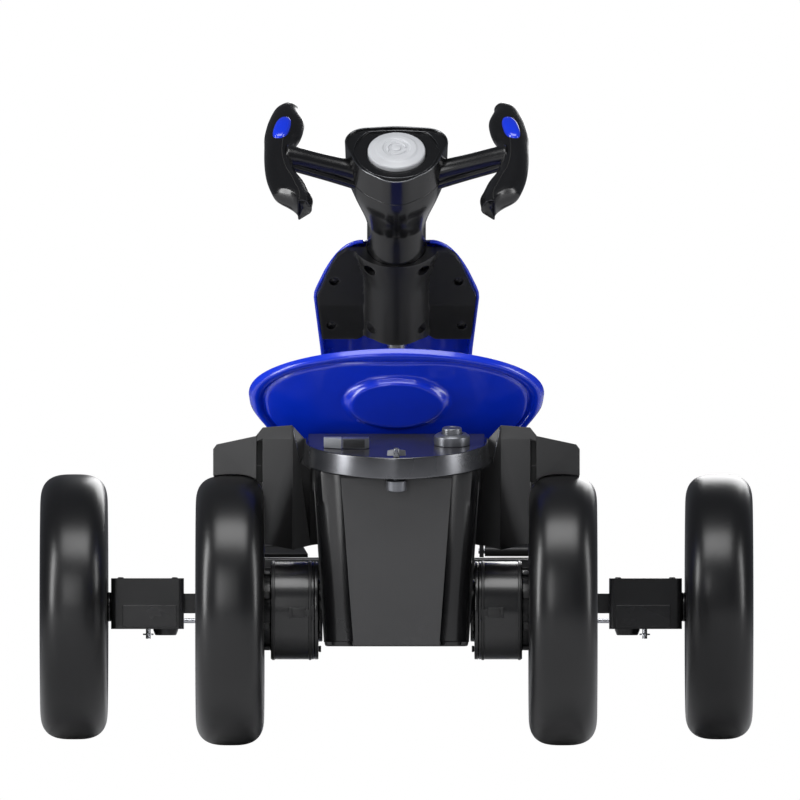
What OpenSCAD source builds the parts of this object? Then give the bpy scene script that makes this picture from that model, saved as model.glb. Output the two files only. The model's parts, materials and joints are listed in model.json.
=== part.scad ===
// Child's ride-on electric go-kart, built up from its separate pieces.
// +X is the rider's right, +Y points forward and +Z up. The ground is z = 0.

/* [Wheels] */
// Outer diameter of every wheel
wheel_d = 250; // [249:0.5:251]
// Width of a tyre
wheel_w = 63.5; // [62.5:0.5:63.5]
// Distance between the front and rear axles
wheelbase = 620; // [618:1:622]
// Middle of a front wheel from the centre line
front_track = 304; // [304:0.5:306]
// Middle of a rear wheel from the centre line
rear_track = 154.2; // [154.2:0.1:155]
// Diameter of the axles in the wheels
axle_d = 12; // [11:0.5:12]

/* [Steering] */
// Lean of the steering column from the vertical
rake = 39; // [38.8:0.1:39.2]
// Diameter of the steering shaft
shaft_d = 19; // [18:0.5:19]
// Middle of a kingpin from the centre line
kingpin_x = 217.6; // [217:0.1:218]
// Diameter of a kingpin
kingpin_d = 10; // [9:0.5:10]
// Diameter of the bent wire tie rod
wire_d = 4.6; // [4:0.2:4.6]

/* [Body] */
// Slope of the deck behind the seat
deck_slope = 10.5; // [10:0.5:11]
// Radius of the deck's round rear end
deck_r = 86.6; // [86:0.2:87]
// Wall of the moulded covers
wall = 3; // [2.5:0.5:3.5]
// Width of the seat's back
seat_w = 275; // [265:1:276]
// Lean of the seat's back from the vertical
seat_lean = 30; // [28:1:31]

/* [Hidden] */
$fn = 64;
axle_z = wheel_d / 2;
front_y = wheelbase / 2;
rear_y = -wheelbase / 2;
run_gap = 0.05;
slide_gap = 0.3;
rim_r = 72;
hub_half = 26;
axle_r = axle_d / 2;
shaft_r = shaft_d / 2;
kingpin_r = kingpin_d / 2;
wire_r = wire_d / 2;

// Heights of the front axle's pieces
beam_low = 118.9;
beam_top = 137.5;
knuckle_low = 104.2;
knuckle_top = 151.9;
knuckle_seam = 128;
knuckle_in = 200.5;
knuckle_out = 269;
knuckle_half = 24;
arm_top = 108.7;
rod_z = 111.5;
rod_pin_x = 234.4;
rod_reach = 55;

// Heights along the steering column, from the middle of the front axle
hub_face = 552;
hub_seam = 524;
collar_top = 433;
collar_floor = 415;
column_r = 27.5;
pipe_r = 30;
crank_r = 37.6;
crank_low = -36;
grip_h = 545;

// Battery housing and deck
housing_low = 92.2;
housing_top = 288;
deck_y = -343.4;
deck_h = 282.1;
deck_in = deck_r - 4.6;
spine_low = 112;
spine_top = 152;
plate_top = 155;
board_low = 163;
board_top = 171;

// Gearboxes
gear_m = 1.5;
gear_teeth = 28;
pinion_teeth = 10;
gear_centres = gear_m * (gear_teeth + pinion_teeth) / 2 + 0.25;
drum_r = 45.3;
gear_hub_r = 13.5;

// ---- places and shared shapes ----

module left_side() {
    mirror([1, 0, 0]) children();
}

module both_sides() {
    children();
    mirror([1, 0, 0]) children();
}

module block(low, high) {
    translate(low) cube(high - low);
}

module bar_x(x_low, x_high, r) {
    translate([x_low, 0, 0]) rotate([0, 90, 0]) cylinder(h = x_high - x_low, r = r);
}

module at_front_axle() {
    translate([0, front_y, axle_z]) children();
}

module at_rear_axle() {
    translate([0, rear_y, axle_z]) children();
}

// The steering column's frame: its Z runs up the shaft and its -Y faces the rider.
module at_column() {
    at_front_axle() rotate([rake, 0, 0]) children();
}

// The deck's frame: its XY plane is the top of the rim, with Y rising forward.
module at_deck() {
    translate([0, deck_y, deck_h]) rotate([deck_slope, 0, 0]) children();
}

module rod_between(from, to, r) {
    way = to - from;
    translate(from)
        rotate([0, acos(way[2] / norm(way)), atan2(way[1], way[0])])
            cylinder(h = norm(way), r = r);
}

// ---- wheels ----

tyre_root = 95;
tyre_outline = concat(
    [for (t = [0 : 10 : 180])
        [tyre_root + (wheel_d / 2 - tyre_root) * pow(sin(t), 2 / 3),
         wheel_w / 2 * sign(cos(t)) * pow(abs(cos(t)), 2 / 3)]],
    [[rim_r, 4 - wheel_w / 2], [rim_r, wheel_w / 2 - 4]]
);

module tyre(track) {
    color("#1b1b1d")
        translate([track, 0, axle_z])
            rotate([0, 90, 0]) rotate_extrude($fn = 96) polygon(tyre_outline);
}

barrel = 4;
web = 3;
barrel_half = 27;
hub_r = 16;
rim_outline = [
    [axle_r + run_gap, -hub_half], [hub_r, -hub_half], [hub_r, -web], [rim_r - barrel, -web],
    [rim_r - barrel, -barrel_half], [rim_r, -barrel_half], [rim_r, barrel_half],
    [rim_r - barrel, barrel_half], [rim_r - barrel, web], [hub_r, web], [hub_r, hub_half],
    [axle_r + run_gap, hub_half]
];

module rim(track) {
    color("#2a2a2d")
        translate([track, 0, axle_z])
            rotate([0, 90, 0]) rotate_extrude($fn = 96) polygon(rim_outline);
}

module at_front() {
    translate([0, front_y, 0]) children();
}

module at_rear() {
    translate([0, rear_y, 0]) children();
}

nut_r = 9;
nut_h = 4.6;

module wheel_nut(track) {
    translate([track + hub_half + slide_gap, 0, 0])
        rotate([0, 90, 0]) cylinder(h = nut_h, r = nut_r, $fn = 6);
}

// ---- frame ----

arm_in = 18;
arm_out = 30;
beam_half = 11;
beam_middle = 150;

module main_frame() {
    color("#232325")
        difference() {
            union() {
                block([-25, rear_y - 12, spine_low], [25, 262, spine_top]);
                both_sides()
                    block([arm_in, 240, beam_low], [arm_out, front_y - beam_half, 150]);
                block([-60, 262, 150], [60, 346, plate_top]);
                block([-arm_out, 236, beam_low], [arm_out, 262, 150]);
            }
            at_rear_axle() bar_x(-30, 30, axle_r);
            block([-14, 266, 140], [14, 308, 160]);
        }
}

module front_axle_beam() {
    eye_r = 11;
    beam_end = 7;
    boss_r = 17;
    color("#1a1a1c")
        difference() {
            union() {
                translate([0, front_y, 0]) {
                    block([-beam_middle, -beam_half, beam_low], [beam_middle, beam_half, beam_top]);
                    block([-kingpin_x, -beam_end, beam_low], [kingpin_x, beam_end, beam_top]);
                    both_sides()
                        translate([kingpin_x, 0, beam_low])
                            cylinder(h = beam_top - beam_low, r = eye_r);
                }
                at_column() translate([0, 0, -22]) cylinder(h = 40, r = boss_r);
            }
            both_sides()
                translate([kingpin_x, front_y, 0]) cylinder(h = 200, r = kingpin_r + run_gap);
            at_column() translate([0, 0, -60]) cylinder(h = 120, r = shaft_r + run_gap);
        }
}

module rear_axle() {
    color("#b9bcc0")
        at_rear_axle() {
            bar_x(-rear_track - hub_half - 3, rear_track + hub_half + 3, axle_r);
            both_sides() wheel_nut(rear_track);
        }
}

// ---- steering knuckles and tie rod ----

module knuckle_block() {
    cavity_half = 15.5;
    corner = 5;
    difference() {
        at_front()
            hull()
                for (x = [knuckle_in + corner, knuckle_out - corner])
                    for (y = [corner - knuckle_half, knuckle_half - corner])
                        translate([x, y, knuckle_low])
                            cylinder(h = knuckle_top - knuckle_low, r = corner, $fn = 32);
        at_front()
            block([knuckle_in - 1, -cavity_half, beam_low - 0.5],
                  [kingpin_x + cavity_half, cavity_half, beam_top + 0.5]);
        translate([kingpin_x, front_y, 0]) cylinder(h = knuckle_top - wall, r = kingpin_r);
        at_front_axle() bar_x(kingpin_x + 22, knuckle_out + 1, axle_r);
    }
}

module knuckle_upper() {
    color("#19191b")
        intersection() {
            knuckle_block();
            block([150, 200, knuckle_seam], [300, 400, 200]);
        }
}

// The lower half carries the steering arm, with the hole for the tie rod's end.
module knuckle_lower(hole_r) {
    arm_r = 9;
    color("#19191b")
        difference() {
            union() {
                intersection() {
                    knuckle_block();
                    block([150, 200, 50], [300, 400, knuckle_seam]);
                }
                hull() {
                    translate([rod_pin_x - 4, front_y + knuckle_half - 4, knuckle_low])
                        cylinder(h = arm_top - knuckle_low, r = arm_r + 4, $fn = 32);
                    translate([rod_pin_x, front_y + rod_reach, knuckle_low])
                        cylinder(h = arm_top - knuckle_low, r = arm_r, $fn = 32);
                }
            }
            translate([rod_pin_x, front_y + rod_reach, 0]) cylinder(h = 200, r = hole_r);
            translate([kingpin_x, front_y, 0]) cylinder(h = beam_low, r = kingpin_r);
        }
}

module knuckle_pins() {
    foot_h = 5.6;
    flange_r = 11;
    color("#b9bcc0") {
        translate([kingpin_x, front_y, knuckle_low])
            cylinder(h = knuckle_top - wall - knuckle_low, r = kingpin_r);
        translate([kingpin_x, front_y, knuckle_low - foot_h])
            cylinder(h = foot_h, r1 = 9.5, r2 = 11.5);
        at_front_axle() {
            bar_x(kingpin_x + 22, front_track + hub_half + 3, axle_r);
            bar_x(knuckle_out, front_track - hub_half - slide_gap, flange_r);
            wheel_nut(front_track);
        }
    }
}

module tie_rod() {
    plate_half = 22;
    color("#c3c6ca") {
        both_sides() {
            translate([0, front_y + rod_reach, rod_z]) bar_x(plate_half - 8, rod_pin_x, wire_r);
            translate([rod_pin_x, front_y + rod_reach, rod_z]) sphere(r = wire_r);
            translate([rod_pin_x, front_y + rod_reach, rod_z - 16.9])
                cylinder(h = 16.9, r = wire_r);
            translate([rod_pin_x, front_y + rod_reach, 98]) cylinder(h = 1.5, r = 5);
        }
        at_column()
            difference() {
                block([-plate_half, crank_r - 13, -47.5], [plate_half, crank_r + 12, -39.5]);
                block([-5.5, crank_r - 9.5, -50], [5.5, crank_r + 8, -30]);
            }
    }
}

// ---- steering column ----

module steering_shaft() {
    color("#8d9094")
        at_column() {
            translate([0, 0, crank_low]) cylinder(h = 470 - crank_low, r = shaft_r);
            translate([0, 0, crank_low])
                hull() {
                    cylinder(h = 6, r = 12, $fn = 32);
                    translate([0, crank_r, 0]) cylinder(h = 6, r = 7, $fn = 32);
                }
            translate([0, crank_r, -50]) cylinder(h = 20, r = 3);
        }
}

module steering_bush() {
    color("#d8d4c8")
        at_column()
            translate([0, 0, 345])
                difference() {
                    cylinder(h = 20, r = 12);
                    translate([0, 0, -1]) cylinder(h = 22, r = shaft_r + run_gap);
                }
}

bracket_outline = [
    [55.6, 430], [74.6, 380], [69.6, 328], [-69.6, 328], [-74.6, 380], [-55.6, 430]
];

module column_bracket() {
    color("#161618")
        at_column()
            difference() {
                union() {
                    translate([0, 1, 0]) rotate([90, 0, 0]) linear_extrude(6) polygon(bracket_outline);
                    translate([0, 0, 341]) cylinder(h = collar_top - 341, r = pipe_r);
                }
                translate([0, 0, 300]) cylinder(h = 200, r = 12);
                translate([0, 0, collar_floor]) cylinder(h = 40, r = column_r + 0.5);
            }
}

bracket_holes = [[58.2, 398], [61, 345]];

module bracket_screws() {
    color("#3a3b3e")
        at_column()
            both_sides()
                for (hole = bracket_holes)
                    translate([hole[0], -5, hole[1]]) rotate([90, 0, 0]) cylinder(h = 2, r = 4.7);
}

fairing_outline = [
    [30, 437], [49, 433], [77, 380], [70, 308], [58, 150], [52, -20],
    [-52, -20], [-58, 150], [-70, 308], [-77, 380], [-49, 433], [-30, 437]
];
fairing_depth = 47;
fairing_top = 470;

module fairing_block(inset) {
    intersection() {
        at_column()
            translate([0, 1 + fairing_depth - inset, 0])
                rotate([90, 0, 0])
                    linear_extrude(fairing_depth) offset(delta = -inset) polygon(fairing_outline);
        block([-100, -100, plate_top - inset], [100, 420, fairing_top - inset]);
    }
}

module front_fairing() {
    color("#1026c8")
        difference() {
            fairing_block(0);
            fairing_block(4);
            at_column() translate([0, 0, 330]) cylinder(h = 130, r = pipe_r + 0.3);
        }
}

module hub_outline(size, h) {
    linear_extrude(h)
        scale(size)
            hull() {
                translate([27, 12]) circle(r = 20);
                translate([-27, 12]) circle(r = 20);
                translate([0, -29]) circle(r = 20);
            }
}

module hub_body() {
    color("#141416")
        at_column()
            difference() {
                union() {
                    translate([0, 0, 420]) cylinder(h = 50, r = column_r);
                    hull() {
                        translate([0, 0, 466]) cylinder(h = 1, r = column_r);
                        translate([0, 0, 512]) hub_outline(0.88, hub_seam - 512);
                    }
                }
                translate([0, 0, 400]) cylinder(h = 70, r = shaft_r);
            }
}

horn_r = 27;

module hub_cover() {
    color("#101012")
        at_column()
            difference() {
                translate([0, 0, hub_seam]) hub_outline(1, hub_face - hub_seam);
                translate([0, 0, hub_seam + 10]) cylinder(h = 40, r = horn_r + slide_gap);
                translate([0, 0, hub_face - 3]) cylinder(h = 10, r = 33);
            }
}

module horn_button() {
    color("#e4e5e8")
        at_column() translate([0, 0, hub_seam + 14]) cylinder(h = 21, r = horn_r);
}

module yoke_spokes() {
    color("#1c1c1e")
        at_column()
            both_sides() {
                rod_between([42, -4, 532], [100, -4, 547], 9.2);
                rod_between([38, -12, 519], [94, -12, 534], 3.8);
            }
}

grip_path = [
    [101, 63, grip_h], [109, 34, grip_h], [112, -6, grip_h], [104, -45, grip_h], [90, -77, grip_h]
];
grip_radii = [10.5, 12, 12.3, 12.3, 11.5];
thumb_at = [107, 27, 551];

module thumb_shape(r, h) {
    linear_extrude(h)
        hull() {
            translate([0, -8]) circle(r = r);
            translate([0, 8]) circle(r = r);
        }
}

module grip() {
    color("#18181a")
        at_column()
            difference() {
                union()
                    for (i = [0 : len(grip_path) - 2])
                        hull() {
                            translate(grip_path[i]) sphere(r = grip_radii[i], $fn = 32);
                            translate(grip_path[i + 1]) sphere(r = grip_radii[i + 1], $fn = 32);
                        }
                translate(thumb_at - [0, 0, 4]) thumb_shape(8.8, 20);
            }
}

module thumb_button() {
    color("#1530d8")
        at_column() translate(thumb_at - [0, 0, 1]) thumb_shape(8.5, 9.5);
}

// ---- rear housing and deck ----

module housing_shape(inset) {
    hull()
        both_sides() {
            translate([42, -366, housing_low + inset]) cylinder(h = 1, r = 24 - inset);
            translate([56.5, -381, housing_top]) cylinder(h = 1, r = 21.5 - inset);
            translate([52, -294, housing_low + inset]) cylinder(h = 1, r = 6 - inset);
            translate([60, -294, housing_top]) cylinder(h = 1, r = 6 - inset);
        }
}

module above_deck(level) {
    at_deck() block([-150, -150, level], [150, 150, 80]);
}

module under_rim() {
    at_deck()
        difference() {
            block([-130, -130, -20.3], [130, 0, 20]);
            translate([0, 0, -21]) cylinder(h = 42, r = deck_in - 0.3);
        }
}

module battery_housing() {
    color("#1a1a1c")
        difference() {
            housing_shape(0);
            housing_shape(wall);
            above_deck(-6);
            at_rear_axle() bar_x(-90, 90, axle_r + slide_gap);
            block([-25, -310, housing_low - 1], [25, -200, spine_top]);
            under_rim();
            block([-45, -410, housing_low + 12], [45, -380, 236]);
        }
}

// Door in the housing's rear face
module rear_panel() {
    color("#262629")
        difference() {
            intersection() {
                housing_shape(0);
                block([-45, -410, housing_low + 12], [45, -380, 236]);
            }
            housing_shape(wall);
        }
}

module deck_cover() {
    color("#1f2024")
        at_deck()
            difference() {
                translate([0, 0, -6])
                    union() {
                        intersection() {
                            cylinder(h = 4, r = deck_in);
                            block([-90, -90, -1], [90, 0, 5]);
                        }
                        block([-deck_in, 0, 0], [deck_in, 50, 4]);
                    }
                translate([0, -76, -10]) cylinder(h = 20, r = 3 + run_gap);
            }
}

module deck_rim() {
    color("#3c3e44")
        at_deck()
            union() {
                translate([0, 0, -20])
                    difference() {
                        cylinder(h = 20, r = deck_r);
                        translate([0, 0, -1]) cylinder(h = 30, r = deck_in);
                        block([-90, 0, -1], [90, 90, 30]);
                    }
                both_sides() block([deck_in, 0, -20], [deck_r, 21, 0]);
            }
}

module deck_fastener() {
    color("#55585e")
        at_deck()
            translate([0, -76, 0]) {
                translate([0, 0, -32]) cylinder(h = 33, r = 3);
                translate([0, 0, -32]) cylinder(h = 10, r = 9.5);
                translate([0, 0, 0.3])
                    linear_extrude(5.7)
                        for (turn = [0, 90])
                            rotate(turn) square([17, 5.5], center = true);
            }
}

module switch_base() {
    color("#6f7278")
        at_deck() block([-67, -30, -2], [-50.6, -8, 9.4]);
}

module switch_slider() {
    color("#7b7e84")
        at_deck() block([-50.6 + slide_gap, -29, -2 + slide_gap], [-25, -9, 9.4]);
}

module button_collar() {
    color("#45474c")
        at_deck()
            translate([51.3, -6, -2])
                difference() {
                    cylinder(h = 10.5, r = 16.5);
                    translate([0, 0, 2]) cylinder(h = 20, r = 9.5 + slide_gap);
                }
}

module power_button() {
    color("#5a5c62")
        at_deck() translate([51.3, -6, 3]) cylinder(h = 11, r = 9.5);
}

module battery_pack() {
    color("#2b5a34")
        block([-48, -378, spine_top + 3], [48, -302, 240]);
}

module seat_pedestal() {
    color("#1b1b1d")
        difference() {
            block([-42, -284, spine_top], [42, -20, 256]);
            block([-42 + wall, -284 + wall, spine_top - 1], [42 - wall, -20 - wall, 256 - wall]);
            seat_block();
        }
}

module control_box() {
    color("#34363a")
        block([-32, -200, spine_top], [32, -110, 190]);
}

// ---- seat ----

seat_y = -296;
seat_z = 312;

module seat_back_disc(r, thick) {
    translate([0, seat_y, seat_z])
        rotate([90 + seat_lean, 0, 0])
            resize([2 * r, 2 * r * 0.462, thick]) cylinder(h = thick, r = r, $fn = 64);
}

module seat_pan(inset, h) {
    for (y = [-245, -75])
        both_sides()
            translate([70, y, h]) cylinder(h = 2, r = 25 - inset, $fn = 32);
}

module seat_block() {
    hull() {
        seat_back_disc(seat_w / 2, 4);
        seat_pan(0, 256);
    }
}

module seat_shell() {
    shell = 5;
    color("#0f22d0") {
        difference() {
            seat_block();
            hull() {
                translate([0, shell + 3, 3]) seat_back_disc(seat_w / 2 - shell, 4);
                translate([0, 60, 90]) seat_back_disc(seat_w / 2 - shell, 4);
                seat_pan(shell, 256 + shell);
                translate([0, 60, 120]) seat_pan(shell, 256 + shell);
            }
        }
        translate([0, seat_y - 2, 317.5])
            rotate([90 + seat_lean, 0, 0])
                resize([97, 54, 11]) cylinder(h = 11, r = 40);
    }
}

// ---- fenders ----

fender_rear = -318;
guard_r = 131;
fender_outline = [
    [169.8, 256], [169.8, 278.4], [130.2, 286.8], [123.9, 294.3], [96.4, 296.7], [79.9, 279.9],
    [80.5, 182], [96.4, 186], [121, 182], [121, 256]
];

module fender() {
    color("#151517") {
        translate([0, fender_rear + 5, 0])
            rotate([90, 0, 0]) linear_extrude(5) polygon(fender_outline);
        intersection() {
            translate([0, fender_rear + 22, 0])
                rotate([90, 0, 0]) linear_extrude(22) polygon(fender_outline);
            block([70, -400, 274], [180, -200, 300]);
        }
        difference() {
            intersection() {
                at_rear_axle() bar_x(124, 169.8, guard_r + 4);
                block([100, fender_rear, 180], [200, -100, 300]);
            }
            at_rear_axle() bar_x(100, 200, guard_r);
        }
    }
}

// ---- foot boards and pedal ----

pedal_y = 216;
pedal_z = 178;
pedal_pin_r = 2.5;
toe_outline = [[83, 0], [151, 0], [145, 58], [108, 58]];
pedal_outline = [[86, 1], [148, 1], [143, 58], [108, 58]];

module foot_rails() {
    color("#232325")
        for (y = [70, 200])
            block([-150, y, spine_top], [150, y + 14, board_low]);
}

module footboard() {
    color("#1d1d1f") block([35, 40, board_low], [160, 262, board_top]);
}

module footboard_right() {
    footboard();
    color("#1d1d1f")
        difference() {
            for (x = [78, 152])
                block([x, pedal_y - 6, board_top], [x + 4, pedal_y + 6, pedal_z + 6]);
            translate([0, pedal_y, pedal_z]) bar_x(70, 170, pedal_pin_r);
        }
}

module toe_plate() {
    color("#2a2a2d")
        left_side() {
            translate([0, pedal_y, board_top])
                rotate([45, 0, 0]) linear_extrude(6) polygon(toe_outline);
            translate([112, 0, 0])
                rotate([90, 0, 90])
                    linear_extrude(8)
                        polygon([[pedal_y, board_top], [pedal_y + 42, board_top],
                                 [pedal_y + 42, board_top + 42]]);
        }
}

module accelerator_pedal() {
    color("#2a2a2d")
        difference() {
            union() {
                translate([0, pedal_y, pedal_z]) bar_x(83, 151, 5);
                translate([0, pedal_y, pedal_z])
                    rotate([45, 0, 0])
                        translate([0, 0, -1]) linear_extrude(4.4) polygon(pedal_outline);
            }
            translate([0, pedal_y, pedal_z]) bar_x(70, 170, pedal_pin_r + run_gap);
        }
}

module pedal_pin() {
    color("#b9bcc0") translate([0, pedal_y, pedal_z]) bar_x(77, 157, pedal_pin_r);
}

// ---- gearboxes ----

drum_in = 76;
drum_out = 116.4;

module gearbox_case() {
    color("#131315")
        at_rear_axle()
            difference() {
                union() {
                    bar_x(drum_in, drum_out, drum_r);
                    bar_x(drum_out, 123.3, 36.85);
                }
                bar_x(drum_in - 1, drum_out - wall, drum_r - wall);
                bar_x(70, 130, gear_hub_r + slide_gap);
            }
}

module gearbox_covers() {
    color("#171719")
        at_rear_axle()
            both_sides()
                difference() {
                    union() {
                        bar_x(72.2, drum_in, drum_r);
                        bar_x(68.5, 72.2, 28.8);
                    }
                    bar_x(60, 80, axle_r);
                }
}

// Radius and turn of a point where the involute of base_r has unrolled by the angle t
function involute(base_r, t) = [
    base_r * sqrt(1 + pow(t * PI / 180, 2)),
    t - atan(t * PI / 180)
];

pressure = 25;
thin = 0.9;

function flank(teeth) =
    let (pitch_r = gear_m * teeth / 2, base_r = pitch_r * cos(pressure))
    let (tip_t = sqrt(pow((pitch_r + gear_m * 0.9) / base_r, 2) - 1) * 180 / PI)
    let (half = 90 / teeth * thin + tan(pressure) * 180 / PI - pressure)
    concat(
        [[pitch_r - gear_m * 1.25, half]],
        [for (i = [0 : 4]) let (p = involute(base_r, tip_t * i / 4)) [p[0], half - p[1]]]
    );

function tooth(teeth, at) =
    let (side = flank(teeth))
    concat(
        [for (p = side) [p[0] * cos(at - p[1]), p[0] * sin(at - p[1])]],
        [for (i = [len(side) - 1 : -1 : 0])
            [side[i][0] * cos(at + side[i][1]), side[i][0] * sin(at + side[i][1])]]
    );

module toothed_wheel(teeth, width) {
    linear_extrude(width)
        polygon([for (i = [0 : teeth - 1]) each tooth(teeth, 360 * i / teeth)]);
}

module output_gear() {
    color("#d9d6cc")
        at_rear_axle()
            difference() {
                union() {
                    translate([77, 0, 0]) rotate([0, 90, 0]) toothed_wheel(gear_teeth, 8);
                    bar_x(84, rear_track - hub_half, gear_hub_r);
                }
                bar_x(70, 140, axle_r + run_gap);
            }
}

motor_shaft_r = 1.6;

module motors() {
    color("#8f9297")
        at_rear_axle()
            both_sides()
                translate([0, gear_centres, 0]) {
                    bar_x(88, drum_out - wall, 13);
                    bar_x(77.5, 88, motor_shaft_r);
                }
}

module motor_pinion() {
    color("#c9a24a")
        at_rear_axle()
            translate([77.5, gear_centres, 0])
                difference() {
                    rotate([0, 90, 0]) toothed_wheel(pinion_teeth, 8);
                    bar_x(-5, 20, motor_shaft_r + run_gap);
                }
}

main_frame();
front_axle_beam();
rear_axle();
battery_housing();
rear_panel();
deck_cover();
deck_rim();
battery_pack();
control_box();
seat_pedestal();
seat_shell();
left_side() fender();  // fender_left
fender();  // fender_right
foot_rails();
left_side() footboard();  // footboard_left
footboard_right();
toe_plate();
accelerator_pedal();
pedal_pin();
column_bracket();
bracket_screws();
front_fairing();
steering_bush();
steering_shaft();
hub_body();
hub_cover();
horn_button();
yoke_spokes();
left_side() grip();  // grip_left
grip();  // grip_right
left_side() thumb_button();  // thumb_button_left
thumb_button();  // thumb_button_right
tie_rod();
left_side() knuckle_upper();  // knuckle_upper_left
knuckle_upper();  // knuckle_upper_right
left_side() knuckle_lower(wire_r + run_gap);  // knuckle_lower_left
knuckle_lower(wire_r + 3);  // knuckle_lower_right
left_side() knuckle_pins();  // knuckle_pins_left
knuckle_pins();  // knuckle_pins_right
at_front() tyre(-front_track);  // tyre_front_left
at_front() tyre(front_track);  // tyre_front_right
at_rear() tyre(-rear_track);  // tyre_rear_left
at_rear() tyre(rear_track);  // tyre_rear_right
at_front() rim(-front_track);  // rim_front_left
at_front() rim(front_track);  // rim_front_right
at_rear() rim(-rear_track);  // rim_rear_left
at_rear() rim(rear_track);  // rim_rear_right
left_side() gearbox_case();  // gearbox_case_left
gearbox_case();  // gearbox_case_right
gearbox_covers();
left_side() output_gear();  // output_gear_left
output_gear();  // output_gear_right
motors();
left_side() motor_pinion();  // motor_pinion_left
motor_pinion();  // motor_pinion_right
deck_fastener();
switch_base();
switch_slider();
button_collar();
power_button();
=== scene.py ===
import json
import math

import bmesh
import bpy
from mathutils import Matrix, Vector


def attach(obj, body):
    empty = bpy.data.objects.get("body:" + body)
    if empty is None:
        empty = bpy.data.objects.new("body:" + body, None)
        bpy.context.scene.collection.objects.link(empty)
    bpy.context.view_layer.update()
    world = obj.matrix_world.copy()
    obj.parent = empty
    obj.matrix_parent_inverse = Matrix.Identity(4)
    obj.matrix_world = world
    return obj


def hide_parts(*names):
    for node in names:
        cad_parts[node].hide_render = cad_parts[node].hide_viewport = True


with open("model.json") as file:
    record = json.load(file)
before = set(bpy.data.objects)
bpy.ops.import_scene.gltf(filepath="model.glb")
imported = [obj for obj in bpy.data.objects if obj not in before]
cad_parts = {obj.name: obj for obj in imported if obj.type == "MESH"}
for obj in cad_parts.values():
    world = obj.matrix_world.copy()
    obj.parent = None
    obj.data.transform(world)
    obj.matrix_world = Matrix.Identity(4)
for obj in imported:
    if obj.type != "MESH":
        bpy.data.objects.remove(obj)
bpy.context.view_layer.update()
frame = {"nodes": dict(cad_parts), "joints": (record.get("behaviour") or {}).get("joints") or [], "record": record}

MM = 0.001
NODES = frame["nodes"]
JOINTS = {joint["name"]: joint for joint in frame["joints"]}


# ---------------------------------------------------------------- frames of reference

def frame_along(joint_name, origin=None):
    """A frame in mm whose Z is the joint's axis, X the row's X and Y the forward side."""
    joint = JOINTS[joint_name]
    up = Vector(joint["axis"]).normalized()
    across = Vector((1, 0, 0))
    ahead = up.cross(across)
    place = Vector(origin if origin is not None else joint["pos_m"])
    turn = Matrix((across, ahead, up)).transposed()
    return Matrix.Translation(place) @ turn.to_4x4() @ Matrix.Scale(MM, 4)


COLUMN = frame_along("steering_turn")
FASTENER_OFFSET = 76
DECK = frame_along("fastener_turn") @ Matrix.Translation((0, FASTENER_OFFSET, 0))
GROUND = Matrix.Scale(MM, 4)


def axle_frame(joint_name):
    """A frame in mm at a wheel's middle; its Z points outboard along the axle."""
    place = Vector(JOINTS[joint_name]["pos_m"])
    side = 1 if place.x > 0 else -1
    turn = Matrix(((0, 0, side), (1, 0, 0), (0, side, 0)))
    return Matrix.Translation(place) @ turn.to_4x4() @ Matrix.Scale(MM, 4)


# ---------------------------------------------------------------- materials

def node(tree, kind, **values):
    made = tree.nodes.new(kind)
    for key, value in values.items():
        if key in made.inputs:
            made.inputs[key].default_value = value
        else:
            setattr(made, key, value)
    return made


def blend_colours(tree, factor, first, second):
    mix = node(tree, "ShaderNodeMix", data_type="RGBA")
    tree.links.new(factor, mix.inputs[0])
    mix.inputs[6].default_value = (*first, 1)
    mix.inputs[7].default_value = (*second, 1)
    return mix.outputs[2]


def moulded(name, colour, rough, grain=0.15, grain_mm=0.6, coat=0.0, metal=0.0, edge_lift=0.25,
            spread=0.08, streak=None):
    """Moulded or painted surface: grain in the relief, cloudy gloss and a lighter colour on sharp convex edges."""
    material = bpy.data.materials.new(name)
    material.use_nodes = True
    tree = material.node_tree
    shader = tree.nodes["Principled BSDF"]
    shader.inputs["Metallic"].default_value = metal
    shader.inputs["Coat Weight"].default_value = coat
    shader.inputs["Coat Roughness"].default_value = 0.06
    place = node(tree, "ShaderNodeTexCoord").outputs["Object"]
    if streak is not None:
        stretch = node(tree, "ShaderNodeMapping")
        stretch.inputs["Scale"].default_value = streak
        tree.links.new(place, stretch.inputs["Vector"])
        place = stretch.outputs["Vector"]
    cloud = node(tree, "ShaderNodeTexNoise", Scale=22.0, Detail=5.0)
    tree.links.new(place, cloud.inputs["Vector"])
    # Sharp convex edges, found by pointiness, get a lighter colour mixed into the base colour.
    edges = node(tree, "ShaderNodeNewGeometry").outputs["Pointiness"]
    ramp = node(tree, "ShaderNodeMapRange")
    ramp.inputs["From Min"].default_value = 0.515
    ramp.inputs["From Max"].default_value = 0.62
    ramp.inputs["To Max"].default_value = edge_lift
    tree.links.new(edges, ramp.inputs["Value"])
    dark = [c * 0.82 for c in colour]
    light = [min(1.0, c * 1.18) for c in colour]
    base = blend_colours(tree, cloud.outputs["Fac"], dark, light)
    edge_lighter = node(tree, "ShaderNodeMix", data_type="RGBA")
    tree.links.new(ramp.outputs["Result"], edge_lighter.inputs[0])
    tree.links.new(base, edge_lighter.inputs[6])
    edge_lighter.inputs[7].default_value = (*[min(1.0, c * 1.5 + 0.05) for c in colour], 1)
    tree.links.new(edge_lighter.outputs[2], shader.inputs["Base Color"])
    gloss = node(tree, "ShaderNodeMapRange")
    gloss.inputs["To Min"].default_value = max(0.02, rough - spread)
    gloss.inputs["To Max"].default_value = rough + spread
    tree.links.new(cloud.outputs["Fac"], gloss.inputs["Value"])
    tree.links.new(gloss.outputs["Result"], shader.inputs["Roughness"])
    if grain:
        fine = node(tree, "ShaderNodeTexNoise", Scale=1.0 / (grain_mm * MM), Detail=2.0)
        tree.links.new(place, fine.inputs["Vector"])
        bump = node(tree, "ShaderNodeBump", Strength=grain, Distance=0.0002)
        tree.links.new(fine.outputs["Fac"], bump.inputs["Height"])
        tree.links.new(bump.outputs["Normal"], shader.inputs["Normal"])
    return material


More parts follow.
